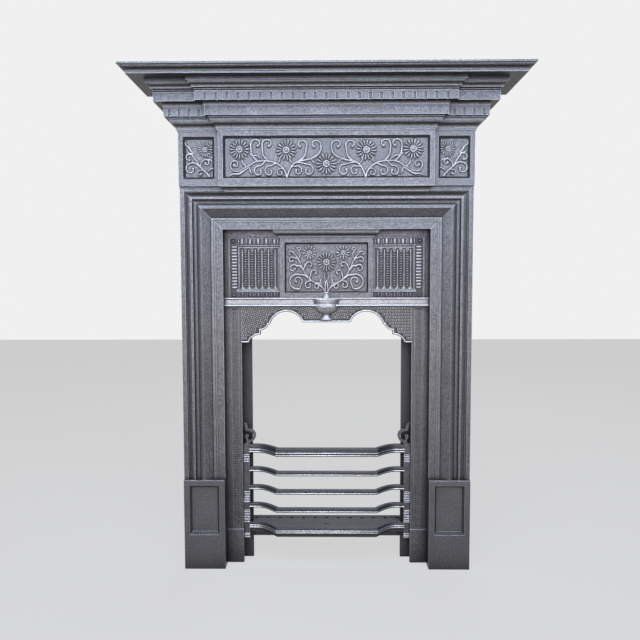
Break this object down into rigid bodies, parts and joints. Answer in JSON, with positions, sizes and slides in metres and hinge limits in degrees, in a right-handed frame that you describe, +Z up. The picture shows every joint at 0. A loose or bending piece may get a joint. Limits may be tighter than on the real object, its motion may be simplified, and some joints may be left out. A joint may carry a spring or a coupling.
{
  "type": "cast iron combination fireplace",
  "caption": "Cast iron fireplace with moulded mantel surround, scroll-panelled frieze, scalloped hood, lift-off fire bars, loose grate and hinged register flap.",
  "frame": {"origin": "on the hearth, on the centre line, in the plane of the wall that the surround stands against; the cheeks reach as far behind that plane as the shelf reaches in front of it", "axes": "+Z up, +Y into the wall, +X across the front, towards the right-hand jamb as seen from the room"},
  "size_m": [0.94, 0.376, 1.219],
  "materials": {
    "polished_iron": "cast iron, blackleaded and burnished to a grey shine",
    "rough_iron": "cast iron as cast, dull, hidden faces",
    "steel": "plain steel fixings"
  },
  "bodies": {
    "fireplace": {"mantel_shelf": "polished_iron", "cornice": "polished_iron", "frieze_centre": "polished_iron", "frieze_end_left": "polished_iron", "frieze_end_right": "polished_iron", "lintel": "polished_iron", "jamb_left": "polished_iron", "jamb_right": "polished_iron", "plinth_left": "polished_iron", "plinth_right": "polished_iron", "stile_left": "polished_iron", "stile_right": "polished_iron", "foot_block_left": "polished_iron", "foot_block_right": "polished_iron", "insert_band": "polished_iron", "arcade_panel_left": "polished_iron", "arcade_panel_right": "polished_iron", "flower_panel": "polished_iron", "insert_crest": "polished_iron", "urn": "polished_iron", "hood_plate": "polished_iron", "panel_screws": "polished_iron", "corner_strap_left": "rough_iron", "corner_strap_right": "rough_iron", "insert_backplate": "rough_iron", "cheek_left": "rough_iron", "cheek_right": "rough_iron", "throat_plate": "rough_iron", "flap_pin": "steel", "joint_bolts": "steel", "joint_nuts": "steel", "shelf_screws": "steel", "strap_bolts": "steel", "insert_bolts": "steel", "cheek_bolts": "steel"},
    "fire_front": {"standard_left": "polished_iron", "standard_right": "polished_iron", "fire_bar_1": "polished_iron", "fire_bar_2": "polished_iron", "fire_bar_3": "polished_iron", "fire_bar_4": "polished_iron", "fire_ledge": "polished_iron"},
    "grate": {"bottom_grate": "rough_iron"},
    "flap": {"register_flap": "rough_iron"}
  },
  "joints": [
    {"name": "front_lift", "type": "slide", "parent": "fireplace", "child": "fire_front", "axis": [0, 0, 1], "range_m": [0, 0.03]},
    {"name": "grate_lift", "type": "slide", "parent": "fireplace", "child": "grate", "axis": [0, 0, 1], "range_m": [0, 0.2]},
    {"name": "flap_hinge", "type": "hinge", "parent": "fireplace", "child": "flap", "pos_m": [0, 0.01086, 0.72434], "axis": [1, 0, 0], "range_deg": [-77.97, 0]}
  ]
}
